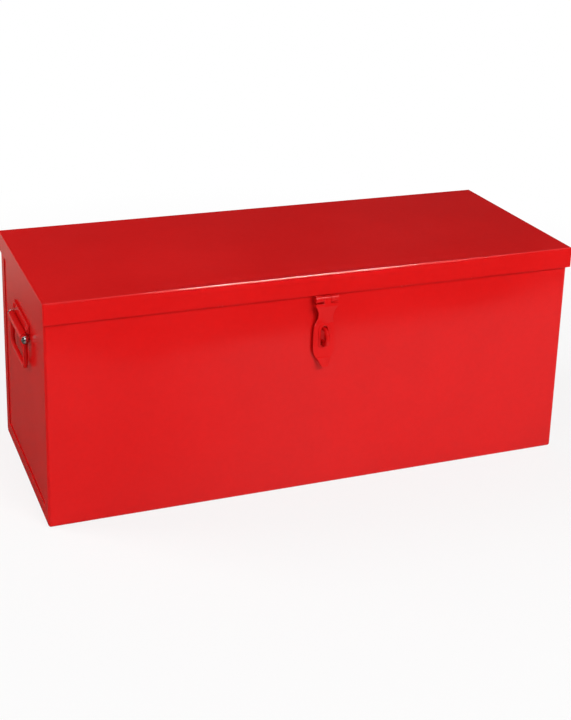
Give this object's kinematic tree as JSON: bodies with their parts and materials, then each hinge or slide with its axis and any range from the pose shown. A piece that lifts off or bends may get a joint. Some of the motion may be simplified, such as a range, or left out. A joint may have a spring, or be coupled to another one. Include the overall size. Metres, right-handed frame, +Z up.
{
  "type": "jobsite box",
  "caption": "Long red sheet-steel site chest with an overlapping hinged lid, a hasp and staple for a padlock, and a drop handle on each end.",
  "frame": {"origin": "middle of the bottom face, where the chest rests on the floor", "axes": "+Z up, +X along the chest's length, -Y towards the front with the hasp"},
  "size_m": [0.7198, 0.3037, 0.292],
  "materials": {
    "body_paint": "gloss",
    "lid_paint": "gloss",
    "hardware_paint": "gloss",
    "bright_steel": "bright"
  },
  "bodies": {
    "chest": {"body_shell": "body_paint", "end_panel_left": "body_paint", "end_panel_right": "body_paint", "hinge_body_leaf": "hardware_paint", "hinge_body_rivets": "hardware_paint", "staple": "hardware_paint", "handle_bracket_left": "hardware_paint", "handle_bracket_right": "hardware_paint", "handle_pin_left": "bright_steel", "handle_pin_right": "bright_steel", "handle_rivets_left": "hardware_paint", "handle_rivets_right": "hardware_paint"},
    "lid": {"lid_shell": "lid_paint", "hinge_lid_leaf": "hardware_paint", "hinge_pin": "bright_steel", "hinge_lid_rivets": "hardware_paint", "hasp_fixed_leaf": "hardware_paint", "hasp_pin": "hardware_paint"},
    "hasp": {"hasp_strap": "hardware_paint"},
    "left_bail": {"handle_bail_left": "hardware_paint"},
    "right_bail": {"handle_bail_right": "hardware_paint"}
  },
  "joints": [
    {"name": "lid_hinge", "type": "hinge", "parent": "chest", "child": "lid", "pos_m": [0, 0.14175, 0.265], "axis": [-1, 0, 0], "range_deg": [0, 105]},
    {"name": "hasp_hinge", "type": "hinge", "parent": "lid", "child": "hasp", "pos_m": [0, -0.14735, 0.26005], "axis": [-1, 0, 0], "range_deg": [0, 130]},
    {"name": "left_bail_swing", "type": "hinge", "parent": "chest", "child": "left_bail", "pos_m": [-0.35435, 0, 0.209], "axis": [0, 1, 0], "range_deg": [-3, 165]},
    {"name": "right_bail_swing", "type": "hinge", "parent": "chest", "child": "right_bail", "pos_m": [0.35435, 0, 0.209], "axis": [0, -1, 0], "range_deg": [-3, 165]}
  ]
}
